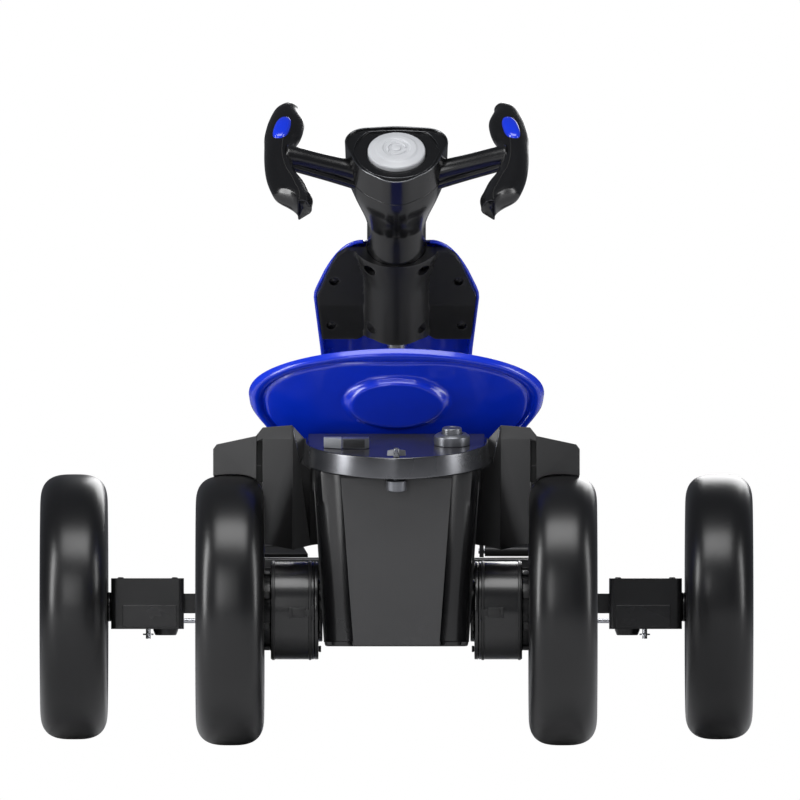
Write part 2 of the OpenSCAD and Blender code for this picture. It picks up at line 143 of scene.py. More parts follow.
MATERIALS = {
    "tyre": moulded("tyre_foam", (0.005, 0.005, 0.0055), 0.30, 0.12, 0.9, edge_lift=0.05, spread=0.03),
    "black_plastic": moulded("black_plastic", (0.006, 0.006, 0.0065), 0.34, 0.25, 0.7),
    "gloss_black": moulded("gloss_black", (0.004, 0.004, 0.0045), 0.26, 0.06, 0.8, coat=0.15,
                           spread=0.04),
    "blue_plastic": moulded("blue_plastic", (0.001, 0.026, 0.56), 0.24, 0.05, 0.8, coat=0.4,
                            edge_lift=0.15),
    "blue_button": moulded("blue_button", (0.003, 0.03, 0.62), 0.22, 0.05, 0.6, coat=0.6),
    "white_plastic": moulded("white_plastic", (0.50, 0.51, 0.53), 0.34, 0.05, 0.5, edge_lift=0.0),
    "dark_steel": moulded("dark_steel", (0.006, 0.006, 0.0065), 0.40, 0.25, 1.1),
    "bright_steel": moulded("bright_steel", (0.56, 0.57, 0.60), 0.26, 0.2, 0.3, metal=1.0,
                            streak=(1, 9, 9)),
    "gunmetal": moulded("gunmetal", (0.16, 0.165, 0.18), 0.34, 0.15, 0.5, metal=0.75),
    "rim_gloss": moulded("rim_gloss", (0.12, 0.122, 0.13), 0.27, 0.06, 0.6, metal=1.0,
                         spread=0.03),
    "nylon": moulded("nylon", (0.68, 0.67, 0.62), 0.5, 0.2, 0.7, edge_lift=0.0),
    "brass": moulded("brass", (0.72, 0.50, 0.20), 0.3, 0.1, 0.3, metal=1.0),
    "battery": moulded("battery", (0.05, 0.15, 0.07), 0.5, 0.3, 0.8),
    # Matte near-black for pieces laid in grooves and slots: painted shade for the dark inside of a gap.
    "painted_gap_shade": moulded("painted_gap_shade", (0.003, 0.003, 0.003), 0.7, 0.1, 0.8, edge_lift=0.0),
    "satin_black": moulded("satin_black", (0.012, 0.012, 0.0125), 0.36, 0.2, 0.6, edge_lift=0.6),
    # Lighter metallic grey for thin lines laid on black edges: painted highlights standing in for bevel
    # highlights.
    "painted_edge_highlight": moulded("painted_edge_highlight", (0.16, 0.163, 0.17), 0.25, 0.05, 0.6, metal=1.0),
    "satin_grey": moulded("satin_grey", (0.30, 0.31, 0.33), 0.38, 0.1, 0.6, metal=0.5),
    "deck_gloss": moulded("deck_gloss", (0.06, 0.06, 0.07), 0.24, 0.02, 0.6, metal=0.6,
                          spread=0.03),
    "panel_grain": moulded("panel_grain", (0.030, 0.030, 0.031), 0.46, 0.5, 0.9),
}


# ---------------------------------------------------------------- mesh helpers

def smoothstep(low, high, value):
    t = max(0.0, min(1.0, (value - low) / (high - low)))
    return t * t * (3 - 2 * t)


def finish_piece(obj, body, look, replaces=(), bevel=0.0, segments=3, subdiv=0,
                 shell=0.0, angle=40):
    """Shades, thickens and rounds a piece, gives it its look and hangs it on its body."""
    obj.data.materials.clear()
    obj.data.materials.append(MATERIALS[look])
    obj.data.shade_smooth()
    if shell:
        solid = obj.modifiers.new("shell", "SOLIDIFY")
        solid.thickness = shell * MM
        solid.offset = -1
        solid.use_even_offset = True
    if bevel:
        edge = obj.modifiers.new("bevel", "BEVEL")
        edge.width = bevel * MM
        edge.segments = segments
        edge.limit_method = "ANGLE"
        edge.angle_limit = math.radians(angle)
        edge.harden_normals = False
        weighted = obj.modifiers.new("normals", "WEIGHTED_NORMAL")
        weighted.keep_sharp = True
    if subdiv:
        smooth = obj.modifiers.new("subdivision", "SUBSURF")
        smooth.levels = subdiv
        smooth.render_levels = subdiv
    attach(obj, body)
    if replaces:
        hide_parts(*replaces)
    return obj


def make(name, points, faces, place=GROUND):
    """A mesh from points in a frame's mm and faces by number."""
    mesh = bpy.data.meshes.new(name)
    mesh.from_pydata([place @ Vector(p) for p in points], [], faces)
    work = bmesh.new()
    work.from_mesh(mesh)
    bmesh.ops.remove_doubles(work, verts=work.verts, dist=1e-6)
    bmesh.ops.recalc_face_normals(work, faces=work.faces)
    work.to_mesh(mesh)
    work.free()
    obj = bpy.data.objects.new(name, mesh)
    bpy.context.scene.collection.objects.link(obj)
    return obj


def loft(rings, closed=True, caps=(True, True), loop=False):
    """Points and faces through rings of equal length."""
    count = len(rings[0])
    points = [p for ring in rings for p in ring]
    faces = []
    rows = len(rings) if loop else len(rings) - 1
    for i in range(rows):
        for j in range(count if closed else count - 1):
            k = (j + 1) % count
            a, b = i * count, (i + 1) % len(rings) * count
            faces.append((a + j, a + k, b + k, b + j))
    if caps[0] and not loop:
        faces.append(tuple(range(count - 1, -1, -1)))
    if caps[1] and not loop:
        faces.append(tuple(range(len(points) - count, len(points))))
    return points, faces


def join_parts(*parts):
    """Several (points, faces) pairs as one."""
    points, faces = [], []
    for some_points, some_faces in parts:
        start = len(points)
        points.extend(some_points)
        faces.extend(tuple(start + i for i in face) for face in some_faces)
    return points, faces


def turned(part, turn):
    points, faces = part
    return [turn @ Vector(p) for p in points], faces


def moved(part, by):
    return turned(part, Matrix.Translation(by))


def mirrored(part):
    return turned(part, Matrix.Scale(-1, 4, (1, 0, 0)))


def sided(part, side):
    """The right-hand part as it is for side 1, mirrored for side -1."""
    return part if side > 0 else mirrored(part)


def circle(radius, height, steps=64, start=0.0):
    return [(radius * math.cos(start + 2 * math.pi * i / steps),
             radius * math.sin(start + 2 * math.pi * i / steps), height) for i in range(steps)]


def lathe(profile, steps=96, closed_profile=False):
    """A profile of (radius, height) turned about Z."""
    rings = [circle(radius, height, steps) for radius, height in profile]
    return loft(rings, caps=(not closed_profile, not closed_profile), loop=closed_profile)


def rounded(corners, steps=6):
    """An outline with each corner (x, y, radius) rounded by an arc."""
    outline = []
    count = len(corners)
    for i, (x, y, radius) in enumerate(corners):
        here = Vector((x, y))
        before = (Vector(corners[i - 1][:2]) - here).normalized()
        after = (Vector(corners[(i + 1) % count][:2]) - here).normalized()
        half = before.angle(after) / 2
        if radius <= 0 or half > math.pi / 2 - 0.01:
            outline.append((x, y))
            continue
        reach = radius / math.tan(half)
        centre = here + (before + after).normalized() * radius / math.sin(half)
        first, last = here + before * reach - centre, here + after * reach - centre
        for k in range(steps + 1):
            ray = first.lerp(last, k / steps).normalized() * radius
            outline.append(tuple(centre + ray))
    return outline


def prism(outline, low, high):
    return loft([[(x, y, low) for x, y in outline], [(x, y, high) for x, y in outline]])


def brick(low, high, corner=0.0):
    """A box between two corners, with its upright edges rounded."""
    outline = rounded([(low[0], low[1], corner), (high[0], low[1], corner),
                       (high[0], high[1], corner), (low[0], high[1], corner)])
    return prism(outline, low[2], high[2])


def smooth_path(points, steps=8):
    """A Catmull-Rom line through points of any length."""
    ends = [2 * points[0] - points[1], *points, 2 * points[-1] - points[-2]]
    line = []
    for i in range(1, len(ends) - 2):
        a, b, c, d = ends[i - 1:i + 3]
        for k in range(steps):
            t = k / steps
            line.append(0.5 * (2 * b + (c - a) * t + (2 * a - 5 * b + 4 * c - d) * t ** 2
                               + (3 * b - a - 3 * c + d) * t ** 3))
    line.append(points[-1])
    return line


def tube(path, radii, steps=32, upright=Vector((0, 0, 1)), caps=(True, True)):
    """A round bar along a path, with one radius or one for each point."""
    rings = []
    for i, point in enumerate(path):
        ahead = (path[min(i + 1, len(path) - 1)] - path[max(i - 1, 0)]).normalized()
        across = ahead.cross(upright).normalized()
        over = across.cross(ahead)
        radius = radii[i] if isinstance(radii, (list, tuple)) else radii
        rings.append([tuple(point + across * radius * math.cos(2 * math.pi * k / steps)
                            + over * radius * math.sin(2 * math.pi * k / steps))
                      for k in range(steps)])
    return loft(rings, caps=caps)


SIDES = (("left", -1), ("right", 1))
SLOTS = {row["node"]: row["material_slot"] for row in frame["record"]["subparts"]}


# ---------------------------------------------------------------- carried-over CAD nodes

def dress_cad_nodes(bevel=0.8):
    """Every CAD node gets its look, its seams welded and its edges rounded."""
    for name, obj in NODES.items():
        obj.data.materials.clear()
        obj.data.materials.append(MATERIALS[SLOTS[name]])
        weld = obj.modifiers.new("weld", "WELD")
        weld.merge_threshold = 2e-5
        edge = obj.modifiers.new("bevel", "BEVEL")
        edge.width = bevel * MM
        edge.segments = 2
        edge.limit_method = "ANGLE"
        edge.angle_limit = math.radians(35)
        obj.data.shade_smooth()
        weighted = obj.modifiers.new("normals", "WEIGHTED_NORMAL")
        weighted.keep_sharp = True


dress_cad_nodes()


# ---------------------------------------------------------------- wheels

TYRE_R = 125.0
TYRE_HALF = 31.75
TYRE_ROOT = 95.0
RIM_R = 72.0


def tyre_profile(steps=36):
    """Smooth crowned tread, a fine ring on each side wall and the bead at the rim."""
    outer = []
    for i in range(steps + 1):
        turn = math.pi * i / steps
        high = math.sin(turn) ** (2 / 3) if math.sin(turn) > 1e-6 else 0.0
        wide = math.copysign(abs(math.cos(turn)) ** (2 / 3), math.cos(turn))
        outer.append((TYRE_ROOT + (TYRE_R - TYRE_ROOT) * high, TYRE_HALF * wide))
    wall = [(93.0, 31.7), (92.4, 31.2), (90.6, 31.2), (90.0, 31.7), (82.0, 31.2),
            (78.0, 30.2), (75.5, 28.4), (74.6, 27.4), (RIM_R, 27.2)]
    return outer + [(r, -h) for r, h in wall] + [(r, h) for r, h in reversed(wall)]


def rim_face(side_height):
    """Points (radius, height) across the outboard dish, from the barrel in to the hub cap."""
    return [(RIM_R, side_height), (70.5, side_height + 1.2), (68.5, side_height + 0.4),
            (67.2, side_height - 2.0), (66.4, side_height - 9.0), (64.0, side_height - 11.5),
            (60.0, side_height - 12.0)]


def make_wheel(end, side_name):
    joint = f"wheel_{end}_{side_name}_spin"
    body = f"wheel_{end}_{side_name}"
    place = axle_frame(joint)
    tyre = make(f"tyre_{end}_{side_name}_skin", *lathe(tyre_profile(), 144, True), place)
    finish_piece(tyre, body, "tyre", [f"tyre_{end}_{side_name}"])

    dish = [(7, -26.0), (15.5, -26.0), (16, -25.4), (16.6, -4.0), (18.5, -2.6), (64, -2.6),
            (67.4, -5.0), (67.8, -25.0), (68.6, -26.6), (RIM_R, -27.0)]
    front = rim_face(26.4) + [(31.0, 14.6), (28.4, 15.4), (26.5, 19.0), (25.4, 25.0),
                              (24.0, 27.4), (20.0, 29.2), (12.0, 30.4), (0.05, 30.8)]
    wheel = make(f"wheel_disc_{end}_{side_name}", *lathe(dish + front, 120), place)
    finish_piece(wheel, body, "black_plastic", [f"rim_{end}_{side_name}"],
                 bevel=0.4)

    spokes = []
    for i in range(5):
        outline = rounded([(22, -9.5, 2), (63.5, -15.5, 4), (66.6, -9, 2), (66.6, 9, 2),
                           (63.5, 15.5, 4), (22, 9.5, 2)])
        top = [(22 + (x - 22) * 0.985, y * 0.8) for x, y in outline]
        spoke = loft([[(x, y, 13.0) for x, y in outline], [(x, y, 21.0) for x, y in outline],
                      [(x, y, 23.2) for x, y in top]])
        spokes.append(turned(spoke, Matrix.Rotation(2 * math.pi * i / 5, 4, "Z")))
        slot_low = rounded([(34, -3.2, 3), (56, -4.6, 4), (56, 4.6, 4), (34, 3.2, 3)])
        ridge = [[(x, y, 23.0) for x, y in slot_low],
                 [(45 + (x - 45) * 0.93, y * 0.72, 24.3) for x, y in slot_low]]
        spokes.append(turned(loft(ridge), Matrix.Rotation(2 * math.pi * i / 5, 4, "Z")))
    star = make(f"wheel_spokes_{end}_{side_name}", *join_parts(*spokes), place)
    finish_piece(star, body, "gunmetal", bevel=0.8)


for end_name in ("front", "rear"):
    for side_word, _ in SIDES:
        make_wheel(end_name, side_word)


# ---------------------------------------------------------------- seat

SEAT_LINE = smooth_path([Vector(p) for p in (
    (-50, 265.5), (-80, 261), (-150, 259.2), (-228, 259.6), (-260, 266.2), (-279.8, 284),
    (-296, 312), (-311.9, 339.5), (-327.75, 367))], 12)
SEAT_MARKS = [0.0]
for i in range(1, len(SEAT_LINE)):
    SEAT_MARKS.append(SEAT_MARKS[-1] + (SEAT_LINE[i] - SEAT_LINE[i - 1]).length)
SEAT_TOP = SEAT_MARKS[-1]
SEAT_WIDEST = SEAT_TOP - 63.5
BOSS_AT = SEAT_WIDEST + 6.7


def on_seat_line(s):
    """Point (Y, Z) at length s along the seat's centre line and the direction ahead there."""
    for i in range(1, len(SEAT_MARKS)):
        if s <= SEAT_MARKS[i] or i == len(SEAT_MARKS) - 1:
            step = SEAT_LINE[i] - SEAT_LINE[i - 1]
            t = (s - SEAT_MARKS[i - 1]) / step.length
            before = SEAT_LINE[max(i - 2, 0)]
            after = SEAT_LINE[min(i + 1, len(SEAT_LINE) - 1)]
            slope = (SEAT_LINE[i] - before).lerp(after - SEAT_LINE[i - 1], min(1, max(0, t)))
            return SEAT_LINE[i - 1] + step * t, slope.normalized()


def seat_outline():
    """The shell unrolled: across, and along its centre line from the lip to the back's top."""
    half = [Vector(p) for p in ((0, 0), (50, 1), (80, 12), (93, 42), (96, 100), (99, 160),
                                (108, SEAT_WIDEST - 62), (124, SEAT_WIDEST - 34),
                                (134.5, SEAT_WIDEST - 15), (137.5, SEAT_WIDEST))]
    right = smooth_path(half, 6)
    for i in range(1, 25):
        turn = math.pi / 2 * i / 24
        right.append(Vector((137.5 * math.cos(turn), SEAT_WIDEST + 63.5 * math.sin(turn))))
    return right + [Vector((-p.x, p.y)) for p in reversed(right[1:-1])]


def seat_point(across, along, edge):
    """The shell's rear face: rolled rim, groove, raised sides and the oval boss."""
    here, ahead = on_seat_line(along)
    inward = Vector((ahead.y, -ahead.x)) if ahead.y > 0.3 else Vector((0, 1))
    if 0 < ahead.y <= 0.3 or ahead.x < -0.3:
        inward = Vector((ahead.y, -ahead.x))
    side = abs(across) / 137.5
    rise = 34 * side ** 2.4 * smoothstep(20, 170, along) * (1 - 0.45 * smoothstep(
        SEAT_WIDEST - 60, SEAT_TOP, along))
    if edge < 13:
        rise -= 4.2 * math.sin(math.pi * min(1.0, (edge + 1.2) / 14.2)) ** 0.7
        rise += 4.0 * (1 - smoothstep(0.0, 4.0, edge))
    rise += 1.6 * math.exp(-((edge - 14.6) / 1.6) ** 2)
    reach = math.hypot(across, (along - BOSS_AT) * 1.77)
    if along > SEAT_WIDEST - 45:
        rise -= 8.0 * (1 - smoothstep(42.0, 49.5, reach))
        rise += 0.8 * math.exp(-((reach - 50.5) / 1.4) ** 2)
    return across, here.x + inward.x * rise, here.y + inward.y * rise


def make_seat():
    outline = seat_outline()
    inner, outer = 70.0, SEAT_TOP - 56.0
    shares = [0, 0.6, 1.2, 2, 3, 4.2, 5.6, 7, 8.6, 10.2, 11.6, 12.6, 13.4, 14.2, 15, 16, 17.5, 20,
              24, 29, 34, 39, 44, 49, 52, 54, 56, 58, 60, 62, 64, 66, 68, 70, 72, 74, 76, 79, 83,
              88, 94, 100]
    rings = []
    for share in shares:
        ring = []
        for p in outline:
            middle = Vector((0, inner + (outer - inner) * p.y / SEAT_TOP))
            reach = (p - middle).length
            f = share if share <= 20 else 20 + (reach - 20) * (share - 20) / 80
            spot = p.lerp(middle, min(1.0, f / reach))
            ring.append(seat_point(spot.x, spot.y, f))
        rings.append(ring)
    seat = make("seat_bucket", *loft(rings, caps=(False, False)))
    finish_piece(seat, "chassis", "blue_plastic", ["seat_shell"], shell=3.4,
                 subdiv=1)

    bolts = [moved(lathe([(7.5, 257.5), (7.5, 262.0), (6.8, 263.2), (3.4, 263.6), (3.0, 261.8),
                          (0.05, 261.8)], 32), Vector((x, y, 0)))
             for x in (-30, 30) for y in (-90, -190)]
    heads = make("seat_bolts", *join_parts(*bolts))
    finish_piece(heads, "chassis", "dark_steel", bevel=0.3)


make_seat()


# ---------------------------------------------------------------- steering hub and yoke

COLUMN_R = 27.5
HUB_SEAM, HUB_FACE = 524.0, 552.0


def tri_oval(size=1.0, steps=18):
    """Outline of the hub's face: round corners, an almost flat top and a full lower edge."""
    outline = rounded([(-55.5, 30.5, 21), (0, 35.5, 120), (55.5, 30.5, 21), (36, -29, 45),
                       (0, -55, 24), (-36, -29, 45)], steps)
    return [(x * size, y * size) for x, y in outline]


def resample(outline, count):
    """The outline as count points, evenly by angle about its middle."""
    spun = []
    for k in range(count):
        turn = 2 * math.pi * k / count
        ray = Vector((math.cos(turn), math.sin(turn)))
        best = 0.0
        for i in range(len(outline)):
            a, b = Vector(outline[i - 1]), Vector(outline[i])
            d = b - a
            cross = ray.x * d.y - ray.y * d.x
            if abs(cross) < 1e-9:
                continue
            reach = (a.x * d.y - a.y * d.x) / cross
            part = (a.x * ray.y - a.y * ray.x) / cross
            if reach > 0 and -1e-6 <= part <= 1 + 1e-6:
                best = max(best, reach)
        spun.append(tuple(ray * best))
    return spun


FACE = resample(tri_oval(), 96)


def hub_ring(height, share, size=1.0, dy=0.0):
    """A ring between the column's circle, share 0, and the face's outline, share 1."""
    ring = []
    for i, (x, y) in enumerate(FACE):
        turn = 2 * math.pi * i / len(FACE)
        cx, cy = COLUMN_R * math.cos(turn), COLUMN_R * math.sin(turn)
        ring.append((cx + (x * size - cx) * share, cy + (y * size - cy) * share + dy, height))
    return ring


def make_hub():
    rings = [hub_ring(h, 0.0) for h in (420, 440, 455, 466)]
    rings += [hub_ring(466 + 46 * t, 0.92 * (0.45 * t + 0.55 * smoothstep(0, 1, t)))
              for t in (0.1, 0.25, 0.4, 0.55, 0.7, 0.85, 1.0)]
    rings += [hub_ring(518, 0.935), hub_ring(HUB_SEAM - 0.8, 0.95), hub_ring(HUB_SEAM, 0.93)]
    body = make("hub_cone", *loft(rings), COLUMN)
    finish_piece(body, "steering", "gloss_black", ["hub_body"], bevel=0.5,
                 angle=50)

    drop = []
    for k in range(32):
        turn = 2 * math.pi * k / 32
        pinch = 1.0 if math.sin(turn) > 0 else 0.75
        drop.append((4.6 * math.cos(turn) * (1 - 0.35 * math.sin(turn)),
                     9.5 * math.sin(turn) * pinch))
    rings = [[(x * f, -COLUMN_R - 0.2 - d + 0.012 * (x * f) ** 2, 474 + y * f) for x, y in drop]
             for f, d in ((1.0, -0.8), (0.96, 0.5), (0.8, 1.1), (0.1, 1.3))]
    mark = make("hub_drop", *loft(rings), COLUMN)
    finish_piece(mark, "steering", "gloss_black")

    rings = [hub_ring(HUB_SEAM, 0.93), hub_ring(HUB_SEAM + 0.3, 0.955),
             hub_ring(536, 0.975), hub_ring(546, 0.99), hub_ring(HUB_FACE - 1.0, 1.0),
             hub_ring(HUB_FACE - 0.2, 0.992), hub_ring(HUB_FACE, 0.972),
             hub_ring(HUB_FACE - 0.2, 0.955), hub_ring(HUB_FACE - 2.2, 0.945)]
    flat = HUB_FACE - 2.4
    for radius, height in ((40.5, flat), (40.0, flat - 0.2), (39.4, flat - 1.6), (28.2, flat - 1.8),
                           (27.8, flat - 9.0)):
        rings.append([(x * radius / math.hypot(x, y) if math.hypot(x, y) > radius else x * 0.93,
                       y * radius / math.hypot(x, y) if math.hypot(x, y) > radius else y * 0.93,
                       height) for x, y in FACE])
    cover = make("hub_face", *loft(rings), COLUMN)
    finish_piece(cover, "steering", "gloss_black", ["hub_cover"], bevel=0.25)

    # Thin lines of the lighter edge material round the face's rim and the inner ring: painted highlights on the
    # black hub's edges.
    edges = []
    inner = [(x, y) if math.hypot(x, y) < 40.3 else tuple(Vector((x, y)).normalized() * 40.3)
             for x, y in [(x * 0.9, y * 0.9) for x, y in FACE]]
    for outline, height, thick in ((FACE, HUB_FACE - 0.6, 0.75), (inner, flat + 0.1, 0.35)):
        bead = []
        for x, y in outline:
            out = Vector((x, y)).normalized()
            bead.append([(x + thick * (math.cos(a) - 1) * out.x,
                          y + thick * (math.cos(a) - 1) * out.y, height + thick * math.sin(a))
                         for a in [math.pi * k / 4 for k in range(8)]])
        edges.append(loft(bead, loop=True))
    bead = make("hub_edge_highlights", *join_parts(*edges), COLUMN)
    finish_piece(bead, "steering", "painted_edge_highlight")


def make_horn():
    """Stepped white disc; its mark is three plain arcs round a dot."""
    profile = [(27.0, 538), (27.0, 549.6), (26.6, 551.0), (25.6, 551.8), (21.0, 552.6),
               (19.6, 553.0), (18.8, 553.8), (18.0, 554.2), (13.6, 554.5), (13.0, 554.2),
               (12.4, 553.4), (0.05, 553.2)]
    disc = lathe(profile, 96)
    parts = [disc, lathe([(4.2, 553.0), (4.2, 554.0), (3.4, 554.5), (0.05, 554.6)], 32)]
    for i in range(3):
        arc = [Vector((8.4 * math.cos(a), 8.4 * math.sin(a), 553.3))
               for a in [2 * math.pi * i / 3 + 1.6 * k / 14 for k in range(15)]]
        parts.append(tube(arc, 1.25, 12))
    horn = make("horn_disc", *join_parts(*parts), COLUMN)
    finish_piece(horn, "horn", "white_plastic", ["horn_button"], bevel=0.3)


GRIP_STATIONS = [(75, 99.5, 1.5, 2), (73, 100, 5.5, 5), (69, 101, 9.5, 7.6), (62, 103, 12, 10),
                 (48, 103, 16.5, 12), (36, 104.5, 17.5, 12.5), (24, 106.7, 16.8, 12.5),
                 (12, 109.4, 14.1, 12.5), (-10, 110.2, 13.3, 12.5), (-30, 107.6, 14.6, 12.5),
                 (-45, 102.5, 17, 12.5), (-60, 97.7, 17.2, 12.5), (-70, 93.7, 16.7, 12.6),
                 (-78, 90.2, 13.4, 12.8), (-82, 87.4, 10.4, 12.8)]


GRIP_Z, GRIP_END_X = 545, 87.4
LEAF = resample(rounded([(4.4, 11.6, 1), (-3, 12.2, 6), (-10.8, -1, 7), (4.4, -12.8, 0.8)], 8),
                72)


def grip_part(steps=72):
    """The right grip, a dark line of painted shade along its seam, and its hollowed leaf-shaped end."""
    spots = smooth_path([Vector((y, x, 0)) for y, x, _, _ in GRIP_STATIONS], 7)
    sizes = smooth_path([Vector((wide, high, 0)) for _, _, wide, high in GRIP_STATIONS], 7)
    rings, line = [], []
    for spot, size in zip(spots, sizes):
        leaf = smoothstep(60, 81, -spot.x)
        ring = []
        for k in range(steps):
            turn = 2 * math.pi * k / steps
            x, z = size.x * math.cos(turn), size.y * math.sin(turn)
            ring.append((spot.y + x + (GRIP_END_X + LEAF[k][0] - spot.y - x) * leaf, spot.x,
                         GRIP_Z + z + (LEAF[k][1] - z) * leaf))
        rings.append(ring)
        if -80 < spot.x < 14:
            line.append(Vector(ring[21 - round(6 * leaf)]))
    for share, dip in ((0.94, 0.1), (0.86, 0.7), (0.6, 2.2), (0.3, 3.4), (0.02, 3.8)):
        rings.append([(GRIP_END_X + (x - GRIP_END_X) * share, y + dip,
                       GRIP_Z + (z - GRIP_Z) * share)
                      for x, y, z in rings[len(spots) - 1]])
    return loft(rings), tube(line, 0.55, 10)


def make_grips():
    part, seam = grip_part()
    for side_name, side in SIDES:
        # A dark matte line on the grip's seam: painted shade of the seam groove.
        line = make(f"grip_seam_{side_name}", *sided(seam, side), COLUMN)
        finish_piece(line, "steering", "painted_gap_shade")
        grip = make(f"grip_shell_{side_name}", *sided(part, side), COLUMN)
        finish_piece(grip, "steering", "gloss_black", [f"grip_{side_name}"],
                     subdiv=1)
        rings = []
        outline = []
        for k in range(64):
            a, b = math.cos(math.pi * k / 32), math.sin(math.pi * k / 32)
            y = math.copysign(abs(b) ** 0.85, b) * 16.5
            outline.append((math.copysign(abs(a) ** 0.85, a) * 7.6 - 0.2 * y, y))
        for size, height in ((1.0, 552.0), (1.0, 556.4), (0.95, 558.0), (0.82, 559.2),
                             (0.6, 559.9), (0.3, 560.2), (0.02, 560.3)):
            rings.append([(107 + x * size, 26 + y * size, height) for x, y in outline])
        shape = loft(rings)
        button = make(f"thumb_pad_{side_name}", *sided(shape, side), COLUMN)
        finish_piece(button, f"thumb_{side_name}", "blue_button",
                     [f"thumb_button_{side_name}"])


def make_spokes():
    parts = []
    upper = smooth_path([Vector((34, -4, 527)), Vector((49, -4, 532)), Vector((70, -4, 538.4)),
                         Vector((90.8, -4, 545)), Vector((104, -4, 548))], 6)
    wide = [v.x for v in smooth_path([Vector((r, 0, 0)) for r in (12, 9.9, 9.4, 9.6, 10.5)], 6)]
    lower = smooth_path([Vector((30, -12, 516)), Vector((40, -12, 520)), Vector((64, -12, 529)),
                         Vector((88.9, -12, 538)), Vector((100, -11, 542))], 6)
    thin = [v.x for v in smooth_path([Vector((r, 0, 0)) for r in (5.5, 4.6, 4.3, 4.3, 5.0)], 6)]
    parts += [tube(upper, wide, 40), tube(lower, thin, 28)]
    parts += [mirrored(part) for part in parts]
    spokes = make("yoke_arms", *join_parts(*parts), COLUMN)
    finish_piece(spokes, "steering", "gloss_black", ["yoke_spokes"])


make_hub()
make_horn()
make_grips()
make_spokes()


# ---------------------------------------------------------------- carved and slanted solids

def carve(obj, place, *cutters):
    """Takes the cutters, each points and faces in a frame's mm, out of a piece's mesh."""
    for cutter in cutters:
        tool = make(obj.name + "_cutter", *cutter, place)
        cut = obj.modifiers.new("cut", "BOOLEAN")
        cut.operation = "DIFFERENCE"
        cut.solver = "EXACT"
        cut.object = tool
        bpy.context.view_layer.update()
        ready = obj.evaluated_get(bpy.context.evaluated_depsgraph_get())
        mesh = bpy.data.meshes.new_from_object(ready)
        obj.modifiers.clear()
        obj.data = mesh
        bpy.data.objects.remove(tool)
    return obj


def rod(radius, low, high, steps=64):
    """A plain round cutter along the frame's Z axis."""
    return loft([circle(radius, low, steps), circle(radius, high, steps)])


def slab(face, back):
    """A solid between a face of (x, y, z) points and the same outline at y = back."""
    return loft([face, [(x, back, z) for x, _, z in face]])


def drill(x, z, radius, near, far, steps=32):
    """A cutter along the frame's Y axis."""
    rings = []
    for y in (near, far):
        rings.append([(x + radius * math.cos(2 * math.pi * i / steps), y,
                       z + radius * math.sin(2 * math.pi * i / steps)) for i in range(steps)])
    return loft(rings)


# ---------------------------------------------------------------- column bracket and fairing

PIPE_R = 30.0


RAKE_COS, RAKE_SIN = 0.777146, 0.62932
AXLE_Z = 125.0
WING_WIDTHS = ((326, 69.4), (380, 74.6), (418, 60.5), (428, 55.0), (434, 48.0), (440, 40.0))
FAIRING_WIDTHS = ((-30, 51.8), (150, 58.4), (314, 71.6), (374, 77.6), (382, 77.0), (409, 66.5),
                  (424, 58.5), (436, 49.0), (444, 38.0), (460, 30.0))


def width_at(marks, height):
    """The half width at a height, straight between the (height, half width) marks."""
    for (h0, w0), (h1, w1) in zip(marks, marks[1:]):
        if height <= h1:
            return w0 + (w1 - w0) * max(0.0, height - h0) / (h1 - h0)
    return marks[-1][1]


def bracket_front(x, height):
    """How far the bracket's rider side stands out from the column's axis."""
    radius = PIPE_R + 8.0 * smoothstep(398, 436, height)
    wing = 6.8 - 0.07 * abs(height - 371)
    pipe = math.sqrt(max(0.0, radius ** 2 - x ** 2)) * (PIPE_R + 1) / (radius + 1)
    spread = 9.0 + 8.0 * smoothstep(395, 436, height)
    near = max(0.0, 1 - abs(pipe - wing) / spread)
    return max(pipe, wing) + near ** 2 * spread / 4


